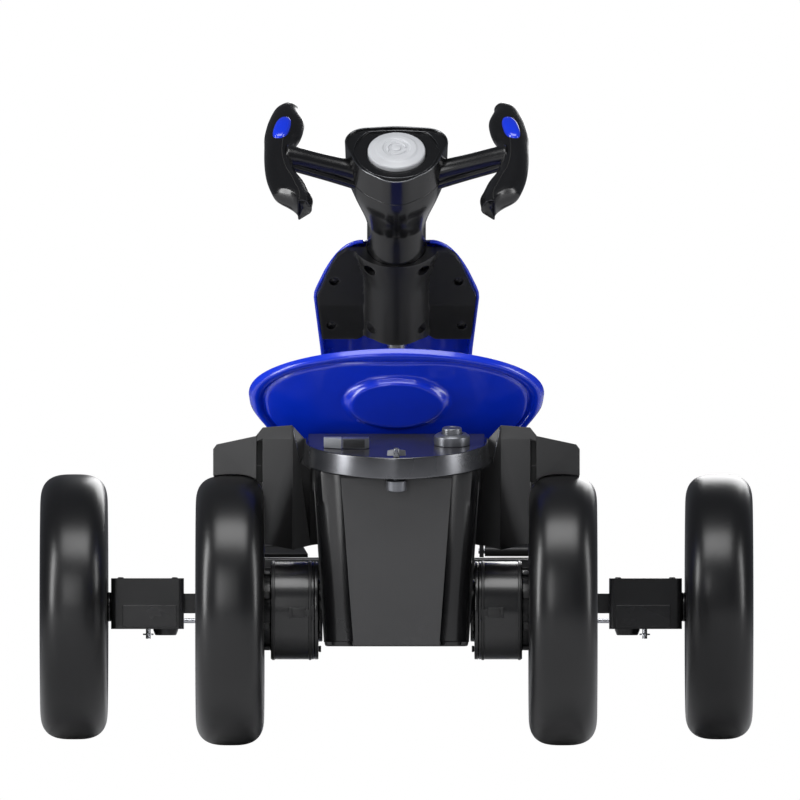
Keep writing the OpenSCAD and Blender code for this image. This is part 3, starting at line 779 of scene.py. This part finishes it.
def make_bracket():
    low, high, rows, columns = 328.0, 435.0, 74, 108
    front = []
    for i in range(rows + 1):
        height = low + (high - low) * i / rows
        half = width_at(WING_WIDTHS, height)
        front.append([])
        for j in range(columns + 1):
            x = half * (2 * j / columns - 1)
            foot = low + 13.0 * smoothstep(38.0, 20.0, abs(x))
            level = foot + (high - foot) * i / rows
            front[-1].append((x, -bracket_front(x, level), level))
    back = [[(x, 0.8, z) for x, _, z in row] for row in front]
    points = [p for row in front for p in row] + [p for row in back for p in row]
    wide = columns + 1
    shift = wide * (rows + 1)
    faces = []
    for i in range(rows):
        for j in range(columns):
            a = i * wide + j
            faces.append((a, a + 1, a + wide + 1, a + wide))
            faces.append((shift + a, shift + a + wide, shift + a + wide + 1, shift + a + 1))
    for j in range(columns):
        faces.append((j, shift + j, shift + j + 1, j + 1))
        a = rows * wide + j
        faces.append((a, a + 1, shift + a + 1, shift + a))
    for i in range(rows):
        a = i * wide
        faces.append((a, a + wide, shift + a + wide, shift + a))
        b = a + columns
        faces.append((b, shift + b, shift + b + wide, b + wide))
    plate = make("bracket_shell", points, faces, COLUMN)
    cutters = [rod(27.9, 415, 450), rod(11.5, 300, 416, 48)]
    for side in (-1, 1):
        cutters += [drill(side * 58.2, 398, 4.7, -20, -1.5), drill(side * 61, 345, 4.7, -20, -1.5),
                    drill(side * 25.2, 424, 5.4, -40, -12), drill(side * 25.2, 352, 5.4, -40, -12)]
    carve(plate, COLUMN, *cutters)
    finish_piece(plate, "chassis", "black_plastic", ["column_bracket"],
                 bevel=0.5, angle=38)

    back_half = [[(r * math.cos(a), r * math.sin(a), h) for a in
                  [math.pi * k / 24 for k in range(25)]]
                 for r, h in ((29.4, 342), (29.4, 433), (28.0, 433.6), (28.0, 342))]
    sleeve = make("bracket_sleeve", *loft(back_half, closed=False, caps=(False, False), loop=True),
                  COLUMN)
    finish_piece(sleeve, "chassis", "black_plastic")

    heads = []
    for side in (-1, 1):
        for x, z in ((58.2, 398), (61, 345)):
            spot = Matrix.Translation((side * x, -2.2, z)) @ Matrix.Rotation(math.pi / 2, 4, "X")
            head = lathe([(3.6, -1.0), (3.6, 0.4), (3.0, 1.1), (0.05, 1.3)], 24)
            heads.append(turned(head, spot))
            for angle in (0.4, 0.4 + math.pi / 2):
                bar = brick((-2.2, -0.45, 1.0), (2.2, 0.45, 1.5))
                heads.append(turned(bar, spot @ Matrix.Rotation(angle, 4, "Z")))
    screws = make("bracket_screw_heads", *join_parts(*heads), COLUMN)
    finish_piece(screws, "chassis", "dark_steel", ["bracket_screws"])


def fairing_ring(level, inset, steps=64):
    """Half loop of the shield at a level above the ground, from one rear edge to the other."""
    ring = []
    for i in range(steps + 1):
        turn = math.pi * i / steps
        depth = (46.5 - inset) * abs(math.sin(turn)) ** 0.62
        nose = 3.0 * math.exp(-((turn - math.pi / 2) / 0.16) ** 2)
        y = 1.2 + min(46.6, depth - nose * 0.5)
        height = (level - AXLE_Z - RAKE_SIN * y) / RAKE_COS
        half = max(4.0, width_at(FAIRING_WIDTHS, (level - AXLE_Z - 0.8) / RAKE_COS) - inset)
        x = half * math.copysign(abs(math.cos(turn)) ** 0.52, math.cos(turn))
        ring.append((x, y, height))
    return ring


def make_fairing():
    rings = [fairing_ring(156 + (462 - 156) * i / 60, 0) for i in range(61)]
    rings += [fairing_ring(465.5, 0.3), fairing_ring(468.0, 1.2), fairing_ring(469.3, 2.8),
              fairing_ring(469.9, 5.0)]
    outer = rings[-1]
    for share in (0.25, 0.5, 0.75, 0.93):
        ring = []
        for i, (x, y, _) in enumerate(outer):
            turn = math.pi * i / (len(outer) - 1)
            notch = Vector((31 * math.cos(turn), 1.2 + 30 * math.sin(turn)))
            spot = Vector((x, y)).lerp(notch, share)
            ring.append((spot.x, spot.y, (469.9 - AXLE_Z - RAKE_SIN * spot.y) / RAKE_COS))
        rings.append(ring)
    shield = make("fairing_shield", *loft(rings, closed=False, caps=(False, False)), COLUMN)
    finish_piece(shield, "chassis", "blue_plastic", ["front_fairing"], shell=3.2,
                 bevel=0)

    # Dark matte slot shapes set into the shield: painted shade of the vent slots.
    slots = []
    for side in (-1, 1):
        for k in range(3):
            middle = Matrix.Translation((side * (24 + 3 * k), 46.2, 318 - 17 * k))
            tilt = Matrix.Rotation(math.pi / 2, 4, "X") @ Matrix.Rotation(side * 0.2, 4, "Z")
            outline = rounded([(-12, -3, 2.9), (12, -3, 2.9), (12, 3, 2.9), (-12, 3, 2.9)])
            slots.append(turned(prism(outline, -1.3, 1.5), middle @ tilt))
    vent_shade = make("fairing_vent_shade", *join_parts(*slots), COLUMN)
    finish_piece(vent_shade, "chassis", "painted_gap_shade", bevel=0.5)


make_bracket()
make_fairing()


# ---------------------------------------------------------------- fenders

def fender_parts():
    """The right fender's facets, each a slanted solid seen from behind."""
    outer = slab([(129.6, -318, 246.4), (137, -318, 249.6), (146, -317.6, 251.2),
                  (156, -317.2, 251.2), (169.8, -316.4, 250), (169.8, -316.4, 274.5),
                  (166.6, -315.6, 278.9), (129.6, -318, 286.8)], -297)
    # A dark matte strip set back between the facets: painted shade in the groove.
    groove = slab([(123, -313.5, 244), (130.4, -313.5, 244), (130.4, -313.5, 283),
                   (123, -313.5, 283)], -300)
    cap = slab([(129.6, -318, 281.6), (129.6, -317, 286.8), (123.9, -314, 294.6),
                (96.5, -314, 296.7), (96.4, -318.2, 284), (123.9, -318.2, 284)], -297)
    main = slab([(96.4, -318.4, 181.5), (123.9, -318.4, 187), (123.9, -318.4, 284.2),
                 (96.4, -318.4, 284.2)], -310)
    turn = slab([(96.4, -318.4, 181.5), (96.4, -318.4, 296.6), (89.6, -315.93, 262),
                 (79.9, -312.4, 255), (79.9, -312.4, 185.3)], -304)
    inner = slab([(79.9, -312.4, 185.3), (79.9, -312.4, 258), (68, -303, 258),
                  (68, -303, 187)], -299)
    web = slab([(92, -312, 236), (92, -312, 271), (58, -309, 262), (58, -309, 236)], -300)
    hand = [(96.2, -312.6, 296.4), (89.5, -315.2, 262), (80.6, -304, 279.3)]
    wing = loft([hand, [(x + 0.4, y + 5.5, z - 0.8) for x, y, z in hand]])
    # The thin tube along the hand facet's edge is a painted highlight line.
    notch = tube([Vector((x, y - 0.9, z - 0.3)) for x, y, z in hand], 0.5, 10)
    shelf = slab([(96.6, -314, 296.6), (129.6, -314, 287), (129.6, -314, 282), (96.6, -314, 282)],
                 -297)
    return join_parts(outer, cap, main, turn, inner, web, wing, shelf), groove, notch


def arch_parts():
    """The guard over the wheel, thin and rounded, following the tyre round."""
    rings = []
    for i in range(41):
        turn = math.radians(91.5 - 62.5 * i / 40)
        ring = []
        for r, x in rounded([(131.2, 124.2, 0.8), (135, 124.2, 2.4), (136.2, 147, 20),
                             (135, 169.7, 2.4), (131.2, 169.7, 0.8), (132.4, 147, 20)], 4):
            ring.append((x, -310 + r * math.cos(turn), 125 + r * math.sin(turn)))
        rings.append(ring)
    guard = loft(rings)
    ribs = []
    for angle in (38, 52, 66, 80):
        turn = math.radians(angle)
        spot = (Matrix.Translation((147, -310, 125)) @ Matrix.Rotation(turn - math.pi / 2, 4, "X")
                @ Matrix.Translation((0, 0, 135.0)))
        ribs.append(turned(brick((-17, -2.2, -0.6), (17, 2.2, 1.0), 1.6), spot))
    return guard, join_parts(*ribs)


def make_fenders():
    facets, groove, notch = fender_parts()
    guard, ribs = arch_parts()
    for side_name, side in SIDES:
        body = make(f"fender_facets_{side_name}", *sided(facets, side))
        finish_piece(body, "chassis", "satin_black", [f"fender_{side_name}"],
                     bevel=0.45, segments=2, angle=6)
        # Painted shade in the groove between the facets.
        gap = make(f"fender_groove_{side_name}", *sided(groove, side))
        finish_piece(gap, "chassis", "painted_gap_shade", bevel=0.5)
        # A painted highlight line along the hand facet's edge.
        edge = make(f"fender_edge_{side_name}", *sided(notch, side))
        finish_piece(edge, "chassis", "painted_edge_highlight")
        arch = make(f"fender_guard_{side_name}", *sided(guard, side))
        finish_piece(arch, "chassis", "satin_black", bevel=0.3)
        rib = make(f"fender_ribs_{side_name}", *sided(ribs, side))
        finish_piece(rib, "chassis", "satin_black", bevel=0.4)


# ---------------------------------------------------------------- rear housing and deck

def housing_ring(level, inset=0.0):
    """Outline of the battery housing at a level: flat rear face between hollow corners."""
    t = (level - 92.2) / (256 - 92.2)
    facet = 40.5 + 11.5 * t
    side = 66.0 + 10.0 * t
    rear = -390.0 - 12.5 * t
    corner_y = rear + 19 + 3 * t
    half = [(0, rear), (facet * 0.5, rear), (facet, rear)]
    hollow = [(facet + 0.8, rear + 1.4), (facet + 3.4, rear + 4.2), (facet + 8.2, rear + 7.0),
              (facet + 14, rear + 9.4), (facet + 19, rear + 12.4),
              (side - 1.4, corner_y - 2.0), (side, corner_y + 4.0)]
    half += hollow
    half += [(side + 0.2, corner_y + 22), (side + 0.4, -330), (side - 0.4, -300),
             (side - 6, -289), (side - 30, -288.2), (0, -288.2)]
    points = [(x - math.copysign(inset, x) if x else 0.0, y + inset * (0.4 if y < -300 else -0.4))
              for x, y in half]
    return points + [(-x, y) for x, y in reversed(points[1:-1])]


def make_housing():
    rings = [[(x, y, 92.6) for x, y in housing_ring(94, 5.0)],
             [(x, y, 92.2) for x, y in housing_ring(94, 1.6)],
             [(x, y, 92.8) for x, y in housing_ring(94, 0.5)],
             [(x, y, 94.4) for x, y in housing_ring(94, 0.0)],
             [(x, y, 96.4) for x, y in housing_ring(96.4, 0.0)],
             [(x, y, 97.0) for x, y in housing_ring(97, 0.9)]]
    for i in range(25):
        level = 97.6 + (292 - 97.6) * i / 24
        rings.append([(x, y, level) for x, y in housing_ring(min(level, 252), 0.9)])
    shell = loft(rings)
    housing = make("housing_shell", *shell)
    carve(housing, DECK, loft([[(-130, -130, -7), (130, -130, -7), (130, 95, -7),
                                (-130, 95, -7)],
                               [(-130, -130, 40), (130, -130, 40), (130, 95, 40),
                                (-130, 95, 40)]]))
    finish_piece(housing, "chassis", "gloss_black", ["battery_housing"],
                 bevel=0.35, angle=30)

    outline = [(-39.8, 93.4), (39.8, 93.4), (51.2, 248), (-51.2, 248)]
    face = []
    for x, z in outline:
        t = (z - 92.2) / (256 - 92.2)
        face.append((x, -390.0 - 12.5 * t - 0.7, z))
    back = [(x, y + 4, z) for x, y, z in face]
    door = make("rear_door", *loft([face, back]))
    finish_piece(door, "chassis", "panel_grain", ["rear_panel"], bevel=0.5,
                 segments=2)

    lips = []
    for side in (-1, 1):
        lips.append(brick((side * 60 - 6, -377.5, 93.4), (side * 60 + 6, -366, 96.2), 3))
        path = [Vector((side * x, y, z)) for x, y, z in ((66.3, -361, 96), (71, -360.5, 170),
                                                         (75.8, -360, 244))]
        lips.append(tube(smooth_path(path, 10), 0.9, 10))
    trims = make("housing_trims", *join_parts(*lips))
    finish_piece(trims, "chassis", "satin_black", bevel=0.3)


def rim_radius(turn, base):
    """The rim bends at its middle, where the two halves meet in a blunt edge."""
    away = abs(turn)
    return base + 2.6 * max(0.0, 1 - away / math.radians(24)) ** 1.3


def deck_loop(base, steps=72):
    """Points (x, y) along the rim from its left end to its right end, in the deck's frame."""
    loop = [(-base, 21 - 3.0 * k) for k in range(7)]
    for i in range(steps + 1):
        turn = math.pi * (i / steps - 0.5)
        r = rim_radius(turn, base)
        loop.append((r * math.sin(turn), -r * math.cos(turn)))
    return loop + [(base, 3.0 + 3.0 * k) for k in range(7)]


def make_deck():
    section = [(82.2, -19.2), (83.0, -20.0), (85.0, -20.0), (86.0, -19.4), (86.4, -18.2),
               (84.6, -1.6), (84.0, -0.5), (83.2, 0.0), (82.8, -0.2), (82.4, -1.4)]
    loops = [[(x, y, h) for x, y in deck_loop(r)] for r, h in section]
    count = len(loops[0])
    rings = [[loop[i] for loop in loops] for i in range(count)]
    rim = make("deck_band", *loft(rings), DECK)
    finish_piece(rim, "chassis", "rim_gloss", ["deck_rim"], bevel=0.25, angle=55)

    inner = deck_loop(81.8, 48)
    outline = [(81.8, 49), *[(x, y) for x, y in reversed(inner)], (-81.8, 49)]
    top = [(x * 0.985, y * 0.985) for x, y in outline]
    plate = loft([[(x, y, -6.0) for x, y in outline], [(x, y, -2.9) for x, y in outline],
                  [(x, y, -2.2) for x, y in top]])
    cover = make("deck_plate", *plate, DECK)
    finish_piece(cover, "chassis", "deck_gloss", ["deck_cover"], bevel=0.3,
                 angle=50)

    star = []
    for k in range(4):
        arm_top = [(1.6, 1.7, 6.4), (8.2, 0.5, 5.4), (8.2, -0.5, 5.4), (1.6, -1.7, 6.4)]
        arm_low = [(1.6, 2.6, 0.6), (8.6, 2.3, 0.6), (8.6, -2.3, 0.6), (1.6, -2.6, 0.6)]
        star.append(turned(loft([arm_low, arm_top]), Matrix.Translation((0, -76, 0))
                           @ Matrix.Rotation(k * math.pi / 2, 4, "Z")))
    star.append(moved(lathe([(3.4, 0.5), (3.4, 5.8), (2.4, 7.4), (0.05, 8.0)], 32),
                      Vector((0, -76, 0))))
    star.append(moved(lathe([(3.0, -33), (3.0, 0.6), (0.05, 0.7)], 24), Vector((0, -76, 0))))
    nut = [(5.2, -32.4), (8.6, -32.4), (9.5, -31.6), (9.5, -23.0), (8.9, -22.2), (3.1, -22.0)]
    star.append(moved(lathe(nut, 48), Vector((0, -76, 0))))
    fastener = make("deck_star_screw", *join_parts(*star), DECK)
    finish_piece(fastener, "fastener", "gunmetal", ["deck_fastener"], bevel=0.3,
                 angle=30)

    block = slab([(-67.2, -25, -2), (-50.6, -30, -2), (-50.6, -30, 7.6), (-67.2, -25, 7.6)],
                 -19)
    base = make("switch_block", *block, DECK)
    finish_piece(base, "chassis", "satin_grey", ["switch_base"], bevel=0.7,
                 segments=3)
    body = slab([(-50.2, -29.8, -1.8), (-28.4, -29.8, -1.8), (-25.2, -27.0, -1.8),
                 (-25.2, -27.0, 7.6), (-28.4, -29.8, 7.6), (-50.2, -29.8, 7.6)], -19)
    ribs = [brick((-49.0, -30.4, -0.4 + 1.1 * k), (-29.4, -29.5, 0.2 + 1.1 * k)) for k in
            range(7)]
    slider = make("switch_slide_cap", *body, DECK)
    finish_piece(slider, "switch", "gunmetal", ["switch_slider"], bevel=0.6)
    grooves = make("switch_ribs", *join_parts(*ribs), DECK)
    finish_piece(grooves, "switch", "gloss_black", bevel=0.15)

    at = Vector((51.3, -6, 0))
    ring = [(9.9, -2), (16.4, -2), (16.6, -1.2), (16.6, 5.4), (16.0, 6.4), (13.4, 8.2),
            (12.2, 8.5), (10.3, 8.5), (9.9, 8.0)]
    collar = make("button_ring", *moved(lathe(ring, 72, True), at), DECK)
    finish_piece(collar, "chassis", "gunmetal", ["button_collar"], bevel=0.25)
    cap = [(9.3, 0.9), (9.3, 12.0), (8.9, 13.2), (8.0, 13.9), (5.2, 14.0), (4.6, 13.4),
           (0.05, 13.2)]
    button = make("power_cap", *moved(lathe(cap, 64), at), DECK)
    finish_piece(button, "power", "gunmetal", ["power_button"], bevel=0.2)


make_fenders()
make_housing()
make_deck()


# ---------------------------------------------------------------- running gear and floor

def drum_patch(x0, x1, z0, z1, radius, depth=2.0, steps=8):
    """A low raised patch on the back of the right gearbox's drum."""
    rings = []
    for i in range(steps + 1):
        z = z0 + (z1 - z0) * i / steps
        y = -310 - math.sqrt(radius ** 2 - (z - 125) ** 2)
        rings.append([(x0, y, z), (x1, y, z), (x1, y + depth, z), (x0, y + depth, z)])
    return loft(rings)


def make_gearbox_details():
    relief = [drum_patch(84.6, 96.4, 118.5, 127.8, 45.8),
              drum_patch(96.4, 99.4, 118.2, 128.1, 46.5),
              drum_patch(77.6, 84.6, 120.2, 126.0, 45.9),
              drum_patch(76.2, 78.6, 116.4, 129.2, 46.3)]
    ring = [(45.2, 0), (46.0, 0.5), (46.0, 2.5), (45.2, 3.0)]
    to_x = Matrix.Rotation(math.pi / 2, 4, "Y")
    for x in (78.5, 112.4):
        relief.append(turned(lathe(ring, 96, True), Matrix.Translation((x, -310, 125)) @ to_x))
    pads = []
    for i in range(8):
        angle = 2 * math.pi * (i + 0.5) / 8
        pad = brick((36.4, -3.6, 117.4), (38.6, 3.6, 122.6), 0.8)
        pads.append(turned(pad, Matrix.Translation((0, -310, 125))
                           @ to_x @ Matrix.Rotation(angle, 4, "Z")))
    bolts = []
    for i in range(5):
        angle = 2 * math.pi * (i + 0.25) / 5
        head = lathe([(3.2, 69.8), (3.2, 71.4), (2.6, 72.2), (0.05, 72.2)], 6)
        spin = Matrix.Rotation(angle, 4, "Z") @ Matrix.Translation((37.5, 0, 0))
        bolts.append(turned(head, Matrix.Translation((0, -310, 125)) @ to_x @ spin))
    for side_name, side in SIDES:
        marks = make(f"gearbox_relief_{side_name}", *sided(join_parts(*relief), side))
        finish_piece(marks, "chassis", "black_plastic", bevel=0.3)
        lugs = make(f"gearbox_lugs_{side_name}", *sided(join_parts(*pads), side))
        finish_piece(lugs, "chassis", "black_plastic", bevel=0.4)
        heads = make(f"gearbox_bolts_{side_name}", *sided(join_parts(*bolts), side))
        finish_piece(heads, "chassis", "dark_steel", bevel=0.3)


def make_knuckle_details():
    foot = lathe([(4.0, 98.2), (9.4, 98.2), (10.2, 98.9), (11.8, 103.2), (11.8, 104.6),
                  (4.0, 104.6)], 40, True)
    recess = brick((207, 285.6, 106), (258, 287, 126.8), 0)
    boot = turned(lathe([(9.4, 268.6), (13.2, 268.8), (13.8, 270.0), (13.8, 272.4),
                         (12.8, 273.6), (9.4, 273.8)], 48, True),
                  Matrix.Translation((0, 310, 125)) @ Matrix.Rotation(math.pi / 2, 4, "Y"))
    screws = []
    for x, y in ((209, 294), (209, 326), (260, 294), (260, 326)):
        screws.append(moved(lathe([(2.9, 151.6), (2.9, 152.3), (2.2, 152.9), (0.05, 152.9)], 24),
                            Vector((x, y, 0))))
    for side_name, side in SIDES:
        body = f"knuckle_{side_name}"
        cap = make(f"kingpin_cap_{side_name}", *sided(moved(foot, Vector((217.6, 310, 0))), side))
        finish_piece(cap, body, "black_plastic", bevel=0.3)
        panel = make(f"knuckle_panel_{side_name}", *sided(recess, side))
        finish_piece(panel, body, "gloss_black", bevel=0.5)
        seal = make(f"knuckle_boot_{side_name}", *sided(boot, side))
        finish_piece(seal, body, "gloss_black", bevel=0.3)
        heads = make(f"knuckle_screws_{side_name}", *sided(join_parts(*screws), side))
        finish_piece(heads, body, "dark_steel", bevel=0.2)


def make_floor_details():
    treads = []
    for k in range(13):
        y = 52 + 12 * k
        treads.append(brick((44, y, 170.6), (151, y + 3.2, 172.2), 1.5))
    for side_name, side in SIDES:
        ribs = make(f"footboard_treads_{side_name}", *sided(join_parts(*treads), side))
        finish_piece(ribs, "chassis", "black_plastic", bevel=0.5)
    tilt = Matrix.Rotation(math.radians(45), 4, "X")
    toe, pad = [], []
    for k in range(5):
        low, high = 10 + 9.5 * k, 13.5 + 9.5 * k
        half = 24 - 1.6 * k
        toe.append(turned(brick((-117 - half, low, 5.4), (-117 + half, high, 7.0), 1.5),
                          Matrix.Translation((0, 216, 171)) @ tilt))
        pad.append(turned(brick((118 - half + 2, low, 2.8), (118 + half - 4, high, 4.4), 1.5),
                          Matrix.Translation((0, 216, 178)) @ tilt))
    grips = make("toe_plate_ribs", *join_parts(*toe))
    finish_piece(grips, "chassis", "satin_black", bevel=0.4)
    pedal = make("pedal_ribs", *join_parts(*pad))
    finish_piece(pedal, "pedal", "satin_black", bevel=0.4)

    ribs = []
    for side in (-1, 1):
        for k in range(7):
            y = -262 + 38 * k
            ribs.append(brick((side * 42.6 - 1.2, y, 160), (side * 42.6 + 1.2, y + 3, 250), 1))
        ribs.append(brick((side * 42.6 - 1.4, -272, 156), (side * 42.6 + 1.4, -30, 160), 1))
    panel = make("pedestal_ribs", *join_parts(*ribs))
    finish_piece(panel, "chassis", "black_plastic", bevel=0.4)

    bolts = []
    for x in (-48, 48):
        for y in (276, 334):
            bolts.append(moved(lathe([(6.6, 154.8), (6.6, 156.2), (5.4, 156.8), (5.2, 160.4),
                                      (4.4, 161), (0.05, 161)], 6), Vector((x, y, 0))))
    heads = make("frame_bolts", *join_parts(*bolts))
    finish_piece(heads, "chassis", "dark_steel", bevel=0.3)


make_gearbox_details()
make_knuckle_details()
make_floor_details()


# ---------------------------------------------------------------- floor, light and camera

def soft_box(name, place, aim, size, power):
    lamp = bpy.data.lights.new(name, "AREA")
    lamp.shape = "RECTANGLE"
    lamp.size, lamp.size_y = size
    lamp.energy = power
    obj = bpy.data.objects.new(name, lamp)
    obj.location = place
    obj.rotation_euler = (Vector(aim) - Vector(place)).to_track_quat("-Z", "Y").to_euler()
    bpy.context.scene.collection.objects.link(obj)


def white_to_camera(tree, lit, white, surface):
    """The backdrop is plain white where the camera sees it, and lit normally elsewhere."""
    mix = node(tree, "ShaderNodeMixShader")
    rays = node(tree, "ShaderNodeLightPath")
    tree.links.new(rays.outputs["Is Camera Ray"], mix.inputs[0])
    tree.links.new(lit.outputs[0], mix.inputs[1])
    tree.links.new(white.outputs[0], mix.inputs[2])
    tree.links.new(mix.outputs[0], surface)


def make_studio():
    world = bpy.data.worlds.new("studio")
    world.use_nodes = True
    bpy.context.scene.world = world
    tree = world.node_tree
    seen = node(tree, "ShaderNodeBackground", Strength=1.0)
    seen.inputs["Color"].default_value = (1, 1, 1, 1)
    around = tree.nodes["Background"]
    around.inputs["Color"].default_value = (0.86, 0.9, 1, 1)
    around.inputs["Strength"].default_value = 0.12
    white_to_camera(tree, around, seen, tree.nodes["World Output"].inputs["Surface"])
    middle = (0, 0, 0.3)
    soft_box("key_left", (-1.7, -1.0, 0.9), middle, (0.5, 1.7), 30)
    soft_box("key_right", (1.9, -0.8, 0.9), middle, (0.5, 1.7), 17)
    soft_box("behind", (-0.5, -2.6, 0.9), middle, (0.5, 1.3), 9)
    soft_box("top", (0, -1.1, 2.2), middle, (1.5, 1.0), 26)
    soft_box("front", (0.6, 2.6, 1.4), middle, (1.4, 1.4), 26)
    floor = make("floor", circle(3000, -0.5, 96), [tuple(range(96))])
    material = bpy.data.materials.new("floor")
    material.use_nodes = True
    tree = material.node_tree
    pale = tree.nodes["Principled BSDF"]
    pale.inputs["Base Color"].default_value = (0.8, 0.8, 0.81, 1)
    pale.inputs["Roughness"].default_value = 0.6
    bright = node(tree, "ShaderNodeEmission", Strength=1.0)
    white_to_camera(tree, pale, bright, tree.nodes["Material Output"].inputs["Surface"])
    floor.data.materials.append(material)


def make_camera():
    lens, sensor, frame_width = 1700.0, 36.0, 0.7477
    camera = bpy.data.cameras.new("camera")
    camera.lens, camera.sensor_width = lens, sensor
    camera.clip_start, camera.clip_end = 1.0, 300.0
    obj = bpy.data.objects.new("camera", camera)
    distance = frame_width * lens / sensor
    obj.location = (0.0033, -distance, 0.320)
    obj.rotation_euler = (math.pi / 2, 0, 0)
    bpy.context.scene.collection.objects.link(obj)
    bpy.context.scene.camera = obj
    bpy.context.scene.view_settings.view_transform = "Standard"


make_studio()
make_camera()
